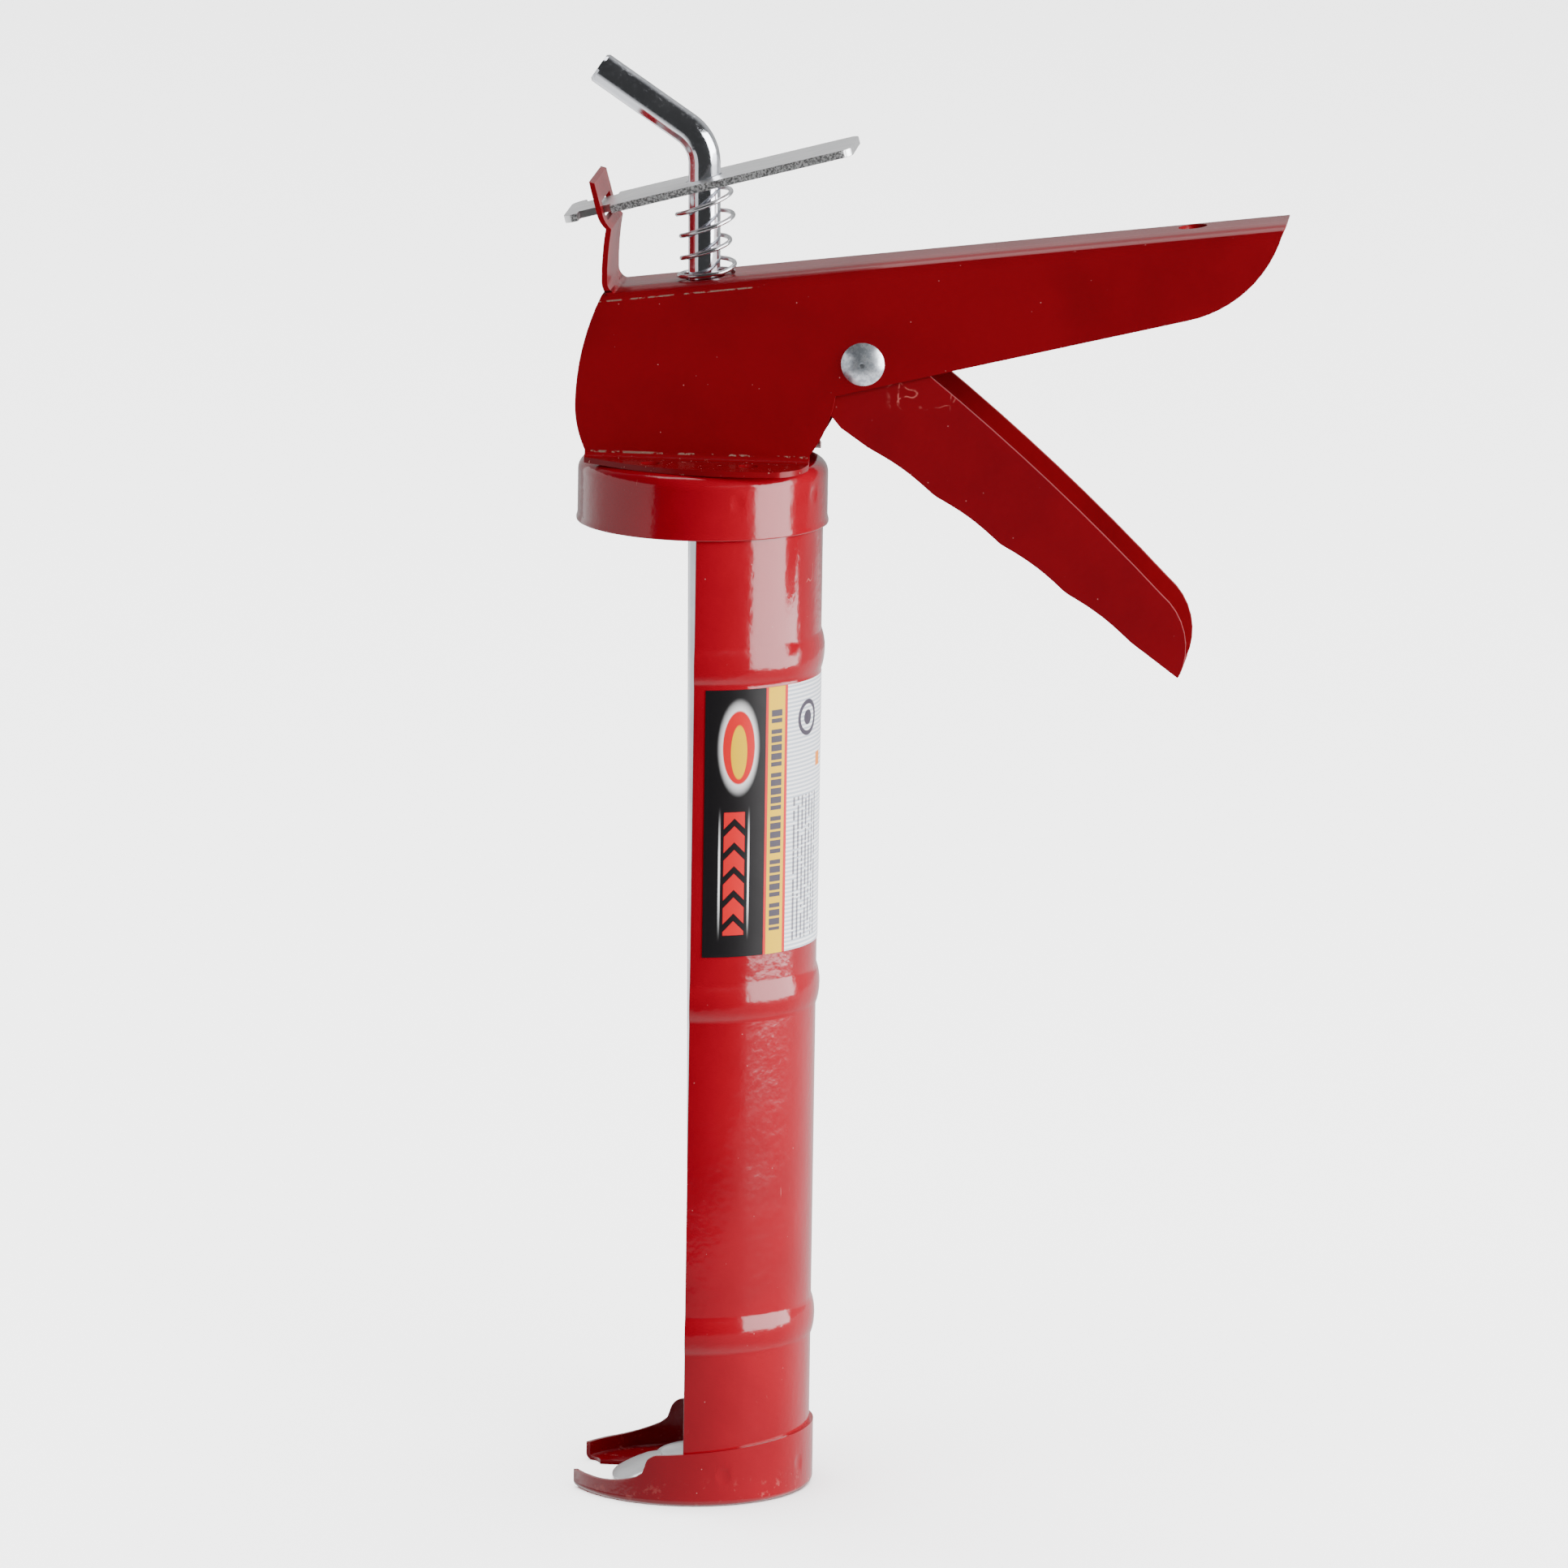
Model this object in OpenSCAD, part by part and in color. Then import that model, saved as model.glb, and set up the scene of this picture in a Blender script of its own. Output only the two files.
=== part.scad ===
// Caulking gun with a half-round cradle, a hooked smooth rod and a thumb release plate.
// Origin on the barrel's axis, at the outer face of the front cap. +Z towards the handle end,
// +X towards the handle and the trigger, -Y towards the side that carries the label.

/* [Cartridge bay] */
// Inside diameter of the half-round cradle
bay_d = 50.2; // [46:0.1:56]
// Distance between the outer faces of the two caps
barrel_len = 226; // [190:1:290]
// Sheet thickness of the cradle and the caps
barrel_t = 0.9; // [0.7:0.05:1.2]
// How far the cradle's long edges stop short of a full half circle
cradle_edge = 1.3; // [0.5:0.1:6]
// Rise of the three round ribs pressed into the cradle
rib_rise = 0.8; // [0.4:0.1:1.2]
// Length of one rib along the barrel
rib_len = 9; // [6:0.5:14]
// Distance between neighbouring ribs
rib_pitch = 73.5; // [50:0.5:85]

/* [Caps] */
// Height of the back cap's wall
back_cap_h = 13.9; // [11:0.1:20]
// Outside radius of the back cap's shoulder
back_shoulder_r = 3; // [1.5:0.1:4]
// Height of the front cap's rim where the cradle's edges meet it
front_cap_h = 11.5; // [9:0.1:16]
// Height of the low lip that guards the open side of the front cap
lip_h = 4; // [3:0.1:6]
// Width of the nozzle slot in the front cap
slot_w = 17; // [12:0.5:20]
// Half angle of the mouth that the slot leaves in the front cap's wall
mouth_half_angle = 27; // [24:1:32]

/* [Frame] */
// Outside width of the frame and its handle
frame_w = 25; // [23:0.1:30]
// Sheet thickness of the frame and the trigger
sheet_t = 1.2; // [1:0.05:1.6]
// Height of the frame's top above the back cap, on the rod's axis
web_h = 38.8; // [36:0.1:46]
// Upward slope of the handle
web_slope = 7.15; // [4:0.05:10]
// Distance from the rod's axis to the end of the handle
handle_reach = 124.3; // [110:0.5:140]
// Outside radius of the handle's folded edges
fold_r = 2.2; // [2:0.1:4]
// Diameter of the hole for hanging the tool up
hang_hole_d = 6.2; // [4:0.1:6.4]

/* [Trigger] */
// Distance from the rod's axis to the pivot
pivot_x = 35.2; // [34:0.1:38]
// Height of the pivot above the back cap
pivot_h = 23; // [22:0.1:26]
// Diameter of the pivot rivet's shank
rivet_d = 5; // [4:0.1:6]
// Gap between the trigger and each side of the frame
trigger_gap = 0.3; // [0.2:0.05:0.5]
// Depth of the finger scallops in the trigger's front
scallop_depth = 0.65; // [0.3:0.05:1.2]

/* [Plunger] */
// Diameter of the plunger rod
rod_d = 6.9; // [6:0.1:8]
// Lean of the rod in its loose guide holes
rod_lean = 0.7; // [0:0.1:0.9]
// Radius of the bend that makes the pull hook
hook_r = 9; // [8:0.5:12]
// Bend angle of the pull hook
hook_angle = 55.4; // [40:0.1:80]
// Length of the straight end of the hook
hook_len = 22.9; // [15:0.5:35]
// Radius of the piston disc
piston_r = 19.6; // [16:0.1:21]

/* [Release plate] */
// Thickness of the thumb release plate
plate_t = 1.7; // [1.5:0.1:2.5]
// Width of the thumb release plate
plate_w = 20; // [18:0.5:22]
// Tilt of the release plate that jams it on the rod
plate_tilt = 15.1; // [12:0.1:18]
// Height of the release plate above the frame's top, on the rod's axis
plate_h = 20.9; // [18:0.1:24]

/* [Drive] */
// Thickness of each of the two drive plates
drive_t = 2; // [1.5:0.1:2.5]
// Tilt of the drive plates
drive_tilt = 6; // [4:0.5:8]
// Height of the drive plates above the back cap
drive_h = 31; // [30:0.1:32]
// Wire diameter of both springs
wire_d = 1; // [0.8:0.05:1.2]
// Mean radius of both springs
coil_r = 5.55; // [5.2:0.05:6.5]

/* [Hidden] */

$fn = 96;
paint = [0.55, 0.03, 0.05];
zinc = [0.75, 0.76, 0.78];
steel = [0.6, 0.61, 0.63];

cradle_r = bay_d / 2 + barrel_t;          // outside of the cradle, inside of the caps
cap_r = cradle_r + barrel_t;              // outside of the caps
web_z = barrel_len + web_h;               // frame's top on the rod's axis
pivot = [pivot_x, barrel_len + pivot_h];
inner_y = frame_w / 2 - sheet_t;          // inside face of the frame's side plates
trigger_y = inner_y - trigger_gap;        // outside face of the trigger's side plates
rod_r = rod_d / 2;
lean_z = barrel_len + 14;                 // height at which the leaning rod crosses the axis
guide_r = rod_r + 0.75;                   // loose guide holes for the rod
plate_z = web_z + plate_h;                // middle of the release plate on the axis
drive_z = barrel_len + drive_h;           // middle of the drive plate pair on the axis
running_gap = 0.05;                       // radial clearance of the pivot
big = 500;

// Points of a circular arc from a to b that bulges to the left of the way from a to b
function arc(a, b, rise, n = 10) =
    let (d = b - a, len = norm(d), left = [-d[1], d[0]] / len,
         r = (len * len / 4 + rise * rise) / (2 * abs(rise)),
         side = rise > 0 ? 1 : -1,
         centre = (a + b) / 2 + left * (rise - side * r),
         a0 = atan2(a[1] - centre[1], a[0] - centre[0]),
         sweep = -side * 2 * asin(len / (2 * r)))
    [for (i = [0:n]) centre + r * [cos(a0 + sweep * i / n), sin(a0 + sweep * i / n)]];

// Points of a quarter or other part of a circle
function turn(centre, r, from, to, n = 8) =
    [for (i = [0:n]) centre + r * [cos(from + (to - from) * i / n), sin(from + (to - from) * i / n)]];

// Closed tube along a path of 3-D points, for the springs
function ring(path, i, r, sides) =
    let (ahead = path[min(i + 1, len(path) - 1)], behind = path[max(i - 1, 0)],
         dir = (ahead - behind) / norm(ahead - behind),
         out = cross(dir, [0, 0, 1]) / norm(cross(dir, [0, 0, 1])), up = cross(out, dir))
    [for (k = [0:sides - 1]) path[i] + r * (cos(360 * k / sides) * out + sin(360 * k / sides) * up)];
module tube(path, r, sides = 8) {
    count = len(path);
    skin = [for (i = [0:count - 1], p = ring(path, i, r, sides)) p];
    walls = [for (i = [0:count - 2], k = [0:sides - 1]) let (m = (k + 1) % sides)
             each [[i * sides + k, i * sides + m, (i + 1) * sides + m],
                   [i * sides + k, (i + 1) * sides + m, (i + 1) * sides + k]]];
    start = [for (k = [1:sides - 2]) [0, k + 1, k]];
    last = (count - 1) * sides;
    end = [for (k = [1:sides - 2]) [last, last + k, last + k + 1]];
    polyhedron(skin, concat(walls, start, end));
}

// Extrudes an outline drawn in the side view (X, Z) between two Y values
module side_view(y0, y1) translate([0, y1, 0]) rotate([90, 0, 0]) linear_extrude(y1 - y0) children();

// Places children, drawn on the rod's own axis, on the leaning rod
module on_rod() translate([0, 0, lean_z]) rotate([0, -rod_lean, 0]) translate([0, 0, -lean_z]) children();

// ---- barrel ----
shoulder_in = back_shoulder_r - barrel_t;
rim_flare = 0.25;
module back_cap() color(paint) difference() {
    low = barrel_len - back_cap_h;
    rotate_extrude() polygon(concat(
        [[cradle_r, low], [cap_r + rim_flare, low], [cap_r + rim_flare, low + 0.6], [cap_r, low + 1.6]],
        turn([cap_r - back_shoulder_r, barrel_len - back_shoulder_r], back_shoulder_r, 0, 90),
        [[guide_r, barrel_len], [guide_r, barrel_len - barrel_t]],
        turn([cradle_r - shoulder_in, barrel_len - back_shoulder_r], shoulder_in, 90, 0)));
    for (a = weld_angles) weld_dent(a, barrel_len - back_weld_drop);
}

weld_angles = [-68, -22, 22, 68];
back_weld_drop = 6;                       // from the back cap's face to its spot welds
front_weld_z = 6.8;
dent_r = 12;                              // ball that the caps' weld dents are cut with
dent_depth = 0.22;
module weld_dent(angle, z) rotate([0, 0, angle]) translate([cap_r + dent_r - dent_depth, 0, z])
    sphere(r = dent_r, $fn = 48);

mid_rib_z = 111;
rib_z = [for (i = [-1:1]) mid_rib_z + i * rib_pitch];
function rib_edge(r, z) = [for (p = arc([r, z - rib_len / 2], [r, z + rib_len / 2], -rib_rise, 8)) p];
module cradle() color(paint) {
    low = front_floor_r;
    high = barrel_len - back_shoulder_r;
    difference() {
        rotate_extrude() polygon(concat(
            [[cradle_r - barrel_t, high], [cradle_r - barrel_t, low], [cradle_r, low]],
            rib_edge(cradle_r, rib_z[0]), rib_edge(cradle_r, rib_z[1]), rib_edge(cradle_r, rib_z[2]),
            [[cradle_r, high]]));
        translate([cradle_edge - big, -big / 2, -1]) cube([big, big, big]);
    }
}

front_floor_r = 1.5;
rim_rise = 0.09;
step_x = 7;
module front_cap() color(paint) difference() {
    top = front_cap_h + cap_r * rim_rise + 1;
    rotate_extrude() polygon(concat(
        [[0, barrel_t], [0, 0]],
        turn([cap_r - front_floor_r, front_floor_r], front_floor_r, -90, 0),
        [[cap_r, top], [cradle_r, top]],
        turn([cap_r - front_floor_r, front_floor_r], front_floor_r - barrel_t, 0, -90)));
    side_view(-big / 2, big / 2) polygon(concat(
        [[big, top + 5], [big, front_cap_h + big * rim_rise], [-4.5, front_cap_h - 4.5 * rim_rise]],
        arc([-4.5, front_cap_h - 0.4], [-step_x, front_cap_h - 3], -0.6, 6),
        [[-step_x - 0.6, lip_h + 2.9]],
        arc([-9, lip_h + 1.9], [-18, lip_h], 0.4, 6),
        [[-big, lip_h], [-big, top + 5]]));
    nozzle_slot();
    for (a = weld_angles) weld_dent(a, front_weld_z);
}
module nozzle_slot() translate([0, 0, -1]) linear_extrude(barrel_t + 30) {
    mouth_y = cap_r * sin(mouth_half_angle);
    circle(r = slot_w / 2);
    translate([-cap_r, -slot_w / 2]) square([cap_r, slot_w]);
    polygon(concat(
        arc([-cap_r + 6.5, slot_w / 2], [-cap_r * cos(mouth_half_angle) + 0.4, mouth_y], -0.8, 6),
        [[-cap_r - 5, mouth_y + 2], [-cap_r - 5, -mouth_y - 2]],
        arc([-cap_r * cos(mouth_half_angle) + 0.4, -mouth_y], [-cap_r + 6.5, -slot_w / 2], -0.8, 6)));
}

label_t = 0.15;
label_z = [121.3, 179.6];
label_from = -81.4;
label_to = 18;
module label() color([0.85, 0.85, 0.87]) rotate([0, 0, label_from])
    rotate_extrude(angle = label_to - label_from)
        translate([cradle_r, label_z[0]]) square([label_t, label_z[1] - label_z[0]]);

// ---- frame ----
flange_z = barrel_len + sheet_t;
pit_r = 3.2;                              // ball that the spot welds' pits are cut with
pit_depth = 0.8;
pit_x = [-9.5, 11.5];
pit_y = 18.3;
bend_in = 1.5;
lower_slope = 13.97;
corner = [29.4, barrel_len + 15.9];
end_low = [handle_reach - 20.2, corner[1] + (handle_reach - 20.2 - corner[0]) * tan(lower_slope)];
end_top = [handle_reach, web_z + handle_reach * tan(web_slope)];
back_x = -21.2;
module side_outline() polygon(concat(
    [[-24.3, flange_z + bend_in]],
    arc([-24.3, flange_z + bend_in], [-26.5, barrel_len + 12.5], 0.55, 6),
    arc([-26.5, barrel_len + 12.5], [back_x, web_z - 2.8], 1.3, 8),
    [[back_x + 0.4, web_z + back_x * tan(web_slope)], [back_x + 1, web_z + 1], end_top],
    arc([end_top[0], end_top[1] - 0.3], end_low, 3.95, 12),
    [corner],
    arc(corner, [24, flange_z + bend_in], 0.9, 8)));

module channel_section(half, r, drop) {
    translate([-half, -drop]) square([2 * half, drop - r]);
    translate([-half + r, -r - 0.01]) square([2 * (half - r), r + 0.01]);
    for (s = [-1, 1]) translate([s * (half - r), -r]) circle(r = r);
}
module along_web() translate([0, 0, web_z]) rotate([0, -web_slope, 0]) translate([-40, 0, 0])
    rotate([90, 0, 90]) linear_extrude(handle_reach + 60) children();

module flange_section() polygon(concat(
    turn([frame_w / 2 + bend_in, flange_z + bend_in], bend_in, 180, 270, 6),
    [[frame_w / 2 + 20, flange_z], [frame_w / 2 + 20, barrel_len]],
    turn([frame_w / 2 + bend_in, flange_z + bend_in], bend_in + sheet_t, 270, 180, 6)));
module flange_plan() polygon(concat(
    [[24, inner_y - 1], [24, frame_w / 2 + 2.5]],
    arc([23.6, 17], [19, 24.6], -1, 5),
    arc([18, 24.9], [-21, 15.5], -4.6, 12),
    [[-24.3, frame_w / 2 + 1], [-24.3, inner_y - 1]]));
module flange() difference() {
    intersection() {
        translate([-30, 0, 0]) rotate([90, 0, 90]) linear_extrude(60) flange_section();
        translate([0, 0, barrel_len - 1]) linear_extrude(10) flange_plan();
    }
    for (x = pit_x) translate([x, pit_y, flange_z + pit_r - pit_depth]) sphere(r = pit_r, $fn = 40);
}

tab_w = frame_w - 2;
window_w = 15;
window_low = 12.9;
window_high = 17;
tab_lean = 14;
module tab() difference() {
    base = web_z + back_x * tan(web_slope);
    foot = [back_x, base + 2.8];
    waist = [back_x + 0.75, base + 14.2];
    kink = [back_x - 1.3, base + 17.8];
    tip = [back_x - 3, base + 24.3];
    wall = [sheet_t, 0];
    side_view(-tab_w / 2, tab_w / 2) polygon(concat(
        [[back_x + 3.6, base - 0.8]], turn([back_x + sheet_t + 2.6, base + 2.8], 2.6 + sheet_t, 270, 180, 6),
        arc(foot, waist, 0.25, 4), arc(waist, kink, 0.35, 5), [tip, tip + wall + [0, -0.3]],
        arc(kink + wall, waist + wall, -0.35, 5), arc(waist + wall, foot + wall, -0.25, 4),
        turn([back_x + sheet_t + 2.6, base + 2.8], 2.6, 180, 278, 6)));
    translate([back_x - 5, -window_w / 2, web_z + window_low]) cube([10, window_w, window_high - window_low]);
}

module frame() color(paint) difference() {
    union() {
        intersection() {
            side_view(-frame_w / 2, frame_w / 2) side_outline();
            difference() {
                along_web() channel_section(frame_w / 2, fold_r, 80);
                along_web() channel_section(inner_y, fold_r - sheet_t, 81);
                translate([-30, -30, flange_z + bend_in - 60]) cube([60, 60, 60]);
            }
        }
        intersection() {
            side_view(-inner_y - 0.01, inner_y + 0.01) side_outline();
            along_web() translate([-inner_y - 0.01, -sheet_t]) square([2 * inner_y + 0.02, sheet_t]);
        }
        flange();
        mirror([0, 1, 0]) flange();
        tab();
    }
    translate([0, 0, web_z - 10]) cylinder(r = guide_r, h = 20);
    translate([pivot[0], 0, pivot[1]]) rotate([90, 0, 0])
        cylinder(d = rivet_d, h = 2 * frame_w, center = true);
    translate([0, 0, web_z]) rotate([0, -web_slope, 0]) translate([hang_hole_x, hang_hole_y, -5])
        cylinder(d = hang_hole_d, h = 10);
}
hang_hole_x = handle_reach - 19.7;
hang_hole_y = frame_w / 2 - fold_r - 3.1;  // beside the fold, on the side without a label

// ---- trigger ----
nose_r = 3;
nose_gap = 0.15;
nose_x = 12;
nose = [nose_x + sin(drive_tilt) * (nose_r + nose_gap),
        drive_z - nose_x * tan(drive_tilt) + drive_t / cos(drive_tilt)
        + cos(drive_tilt) * (nose_r + nose_gap)];
web_a = [30.6, barrel_len + 8.8];
web_b = [103.7, barrel_len - 43.1];
scallops = 4;
scallop_from = 0.08;
scallop_to = 0.86;
web_dir = (web_b - web_a) / norm(web_b - web_a);
web_out = [-web_dir[1], web_dir[0]];
// Distance of the trigger's front from the straight line between its ends
function bow(s) =
    let (in = s > scallop_from && s < scallop_to,
         k = (s - scallop_from) / (scallop_to - scallop_from))
    0.4 * sin(180 * s) + (in ? scallop_depth * abs(sin(180 * scallops * k)) : 0);
function front_edge(inset, from = 0, to = 1, n = 64) = [for (i = [0:n]) let (s = from + (to - from) * i / n)
    web_a + web_dir * norm(web_b - web_a) * s + web_out * (bow(s) + inset)];
module trigger_outline() polygon(concat(
    front_edge(0),
    arc(web_b + [0.3, 0.3], [99.9, barrel_len - 25.1], -3.1, 8),
    arc([99.9, barrel_len - 25.1], [49.7, barrel_len + 20.4], -1.1, 8),
    [pivot + [9.5, 5.5]],
    turn(pivot, 9.5, 50, 90, 4),
    turn(nose, nose_r, 70, 270, 10),
    [nose + [4.5, -nose_r], pivot + [-12.5, -2.5], pivot + [-9, -9]]));
module trigger() color(paint) difference() {
    union() {
        for (s = [-1, 1]) translate([0, s * (trigger_y - sheet_t / 2), 0])
            side_view(-sheet_t / 2, sheet_t / 2) trigger_outline();
        side_view(-trigger_y, trigger_y)
            polygon(concat(front_edge(0), [for (i = [64:-1:0]) front_edge(sheet_t)[i]]));
    }
    translate([pivot[0], 0, pivot[1]]) rotate([90, 0, 0])
        cylinder(d = rivet_d + 2 * running_gap, h = 2 * frame_w, center = true);
}

head_r = 4.65;
tail_r = 4.05;                            // smaller head that is formed on the far side
head_h = 1.7;
module trigger_rivet() color(zinc) translate([pivot[0], 0, pivot[1]]) rotate([90, 0, 0]) {
    cylinder(d = rivet_d, h = frame_w, center = true);
    translate([0, 0, frame_w / 2]) dome(head_r);
    mirror([0, 0, 1]) translate([0, 0, frame_w / 2]) dome(tail_r);
}
module dome(r) {
    ball = (r * r + head_h * head_h) / (2 * head_h);
    intersection() {
        translate([0, 0, head_h - ball]) sphere(r = ball);
        cylinder(r = r + 1, h = head_h + 1);
    }
}

// ---- plunger ----
spigot_r = 2.6;
hook_z = barrel_len + 63.6;
disc_z = 3.6;
disc_t = 1.2;
washer_t = 1.1;
peen_t = 1;
bend_mark = 0.02;                         // trace that the bending tool leaves where the bend ends
back_washer_r = 9;
front_washer_r = 6.5;
shoulder_z = disc_z + disc_t + washer_t;
module plunger_rod() color(zinc) on_rod() {
    translate([0, 0, shoulder_z]) cylinder(r = rod_r, h = hook_z - shoulder_z);
    translate([0, 0, disc_z - washer_t - 0.2])
        cylinder(r = spigot_r, h = shoulder_z - disc_z + washer_t + 0.4);
    translate([0, 0, disc_z - washer_t - peen_t]) cylinder(r = spigot_r + 1.6, h = peen_t - 0.05);
    translate([-hook_r, 0, hook_z]) rotate([90, 0, 0]) rotate_extrude(angle = hook_angle)
        translate([hook_r, 0]) circle(r = rod_r);
    translate([-hook_r, 0, hook_z]) rotate([0, -hook_angle, 0]) translate([hook_r, 0, 0]) {
        translate([0, 0, -0.3]) cylinder(r = rod_r + bend_mark, h = 0.6);
        cylinder(r = rod_r, h = hook_len - 0.6);
        translate([0, 0, hook_len - 0.6]) cylinder(r1 = rod_r, r2 = rod_r - 0.5, h = 0.6);
    }
}
module washer(z, r, hole, t) on_rod() translate([0, 0, z]) difference() {
    cylinder(r = r, h = t);
    translate([0, 0, -1]) cylinder(r = hole, h = t + 2);
}
module piston_back_washer() color(zinc)
    washer(disc_z + disc_t, back_washer_r, spigot_r + running_gap, washer_t);
module piston_front_washer() color(zinc)
    washer(disc_z - washer_t, front_washer_r, spigot_r + running_gap, washer_t);
dish_r = 11;
dish_drop = 1.9;
module piston_disc() color(zinc) on_rod() rotate_extrude() polygon(concat(
    [[spigot_r + running_gap, disc_z], [dish_r, disc_z]],
    arc([dish_r + 2, disc_z - 0.3], [piston_r, disc_z - dish_drop], 0.35, 6),
    [[piston_r + 0.3, disc_z - dish_drop + disc_t - 0.1]],
    arc([piston_r - 0.2, disc_z - dish_drop + disc_t + 0.1], [dish_r + 2.2, disc_z + disc_t - 0.3], -0.35, 6),
    [[dish_r, disc_z + disc_t], [spigot_r + running_gap, disc_z + disc_t]]));

// ---- release plate and spring ----
plate_from = -30.8;
plate_to = 33;
neck_w = window_w - 1.6;
neck_x = [-27.6, -20.4];
plate_shift = (plate_z - lean_z) * tan(rod_lean) / cos(plate_tilt);
plate_corner_r = 2.5;
plate_hole_r = rod_r + 0.52;
module release_plate() color(zinc) translate([0, 0, plate_z]) rotate([0, -plate_tilt, 0])
    translate([0, 0, -plate_t / 2]) difference() {
        linear_extrude(plate_t) difference() {
            rounded_plate();
            for (s = [-1, 1]) translate([neck_x[0], s > 0 ? neck_w / 2 : -plate_w / 2 - 1])
                square([neck_x[1] - neck_x[0], (plate_w - neck_w) / 2 + 1]);
        }
        translate([-plate_shift, 0, -1]) cylinder(r = plate_hole_r, h = plate_t + 2);
    }
module rounded_plate() {
    r = plate_corner_r;
    translate([plate_from + r, -plate_w / 2]) square([plate_to - plate_from - 2 * r, plate_w]);
    translate([plate_from, -plate_w / 2 + r]) square([plate_to - plate_from, plate_w - 2 * r]);
    for (x = [plate_from + r, plate_to - r], s = [-1, 1]) translate([x, s * (plate_w / 2 - r)]) circle(r = r);
}

// Centre line of a spring between two sloping seats, with a closed turn at its foot
function coil(z0, z1, slope0, slope1, shift0, shift1, turns, steps = 18) =
    [for (i = [0:turns * steps]) let (
        a = 360 * i / steps, k = max(0, (i / steps - 0.85) / (turns - 0.85)),
        x = coil_r * cos(a), y = coil_r * sin(a))
        [x + shift0 + (shift1 - shift0) * k, y,
         z0 + (z1 - z0) * k + closed_turn * min(1, i / steps) + (slope0 + (slope1 - slope0) * k) * x]];
spring_clear = 0.15;
closed_turn = 0.9 * wire_d;
// How far the last turn's centre line starts below the middle of the plate that rests on it
function spring_top(depth, tilt) = (depth + wire_d / 2 + spring_clear) / cos(tilt) + closed_turn;
module release_spring() color(steel) tube(coil(
    web_z + wire_d / 2 + spring_clear, plate_z - spring_top(plate_t / 2, plate_tilt),
    tan(web_slope), tan(plate_tilt), 0.3, -0.5, 4.4), wire_d / 2);
module drive_spring() color(steel) tube(coil(
    barrel_len + wire_d / 2 + spring_clear, drive_z - spring_top(drive_t, drive_tilt),
    0, -tan(drive_tilt), 0.1, 0, 6.4), wire_d / 2);

// ---- drive plates ----
drive_from = -14;
drive_to = 13.2;
drive_half = inner_y - 0.6;
drive_hole_r = rod_r + 0.5;
module drive_plate(level) color(zinc) translate([0, 0, drive_z]) rotate([0, drive_tilt, 0])
    translate([0, 0, level * drive_t]) difference() {
        linear_extrude(drive_t) difference() {
            translate([drive_from, -drive_half]) square([drive_to - drive_from, 2 * drive_half]);
            for (s = [-1, 1]) translate([drive_from - 1, s > 0 ? drive_half - 3 : -drive_half - 1])
                square([4, 4]);
        }
        translate([-0.2, 0, -1]) cylinder(r = drive_hole_r, h = drive_t + 2);
    }
module drive_plate_upper() drive_plate(0);
module drive_plate_lower() drive_plate(-1);

frame();
back_cap();
cradle();
front_cap();
label();
trigger();
trigger_rivet();
plunger_rod();
piston_disc();
piston_back_washer();
piston_front_washer();
release_plate();
release_spring();
drive_plate_upper();
drive_plate_lower();
drive_spring();
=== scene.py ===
from math import cos, pi, radians, sin, tan

import bmesh
import bpy
from mathutils import Matrix, Vector


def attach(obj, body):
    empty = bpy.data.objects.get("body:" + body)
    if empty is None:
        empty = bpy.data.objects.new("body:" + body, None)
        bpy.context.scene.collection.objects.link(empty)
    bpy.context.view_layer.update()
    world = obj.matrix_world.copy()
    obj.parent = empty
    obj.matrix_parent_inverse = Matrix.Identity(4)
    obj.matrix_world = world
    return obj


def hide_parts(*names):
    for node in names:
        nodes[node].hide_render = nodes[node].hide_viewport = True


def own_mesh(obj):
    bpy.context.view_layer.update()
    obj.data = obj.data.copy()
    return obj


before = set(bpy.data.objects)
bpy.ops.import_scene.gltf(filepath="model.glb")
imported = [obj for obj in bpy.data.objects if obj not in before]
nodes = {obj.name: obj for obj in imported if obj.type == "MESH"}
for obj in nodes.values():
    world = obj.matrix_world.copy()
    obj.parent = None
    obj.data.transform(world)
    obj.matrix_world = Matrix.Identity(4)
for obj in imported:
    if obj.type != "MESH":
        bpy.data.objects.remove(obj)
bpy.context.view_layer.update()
mm = 0.001
print("frame loaded")


# A Sock is a shader socket or a number that takes part in sums.
class Sock:
    def __init__(self, graph, value):
        self.graph = graph
        self.value = value

    def math(self, operation, *others):
        return self.graph.math(operation, self, *others)

    def __add__(self, other):
        return self.math("ADD", other)

    def __sub__(self, other):
        return self.math("SUBTRACT", other)

    def __mul__(self, other):
        return self.math("MULTIPLY", other)

    def __truediv__(self, other):
        return self.math("DIVIDE", other)

    def abs(self):
        return self.math("ABSOLUTE")

    def root(self):
        return self.math("SQRT")

    def least(self, other):
        return self.math("MINIMUM", other)

    def most(self, other):
        return self.math("MAXIMUM", other)

    # 0 at the first value and 1 at the second, whichever of them is larger
    def ramp(self, low, high):
        inputs = {"Value": self, "From Min": low, "From Max": high}
        if low > high:
            inputs = {"Value": self, "From Min": high, "From Max": low, "To Min": 1.0, "To Max": 0.0}
        made = self.graph.node("ShaderNodeMapRange", {"interpolation_type": "SMOOTHSTEP"}, inputs)
        return Sock(self.graph, made.outputs["Result"])

    # 1 within half of the middle, fading to 0 over soft
    def near(self, middle, half, soft):
        return (self - middle).abs().ramp(half + soft, half)

    # the place within a step that repeats, from 0 to 1
    def repeat(self, step):
        return (self / step).math("FRACT")


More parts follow.
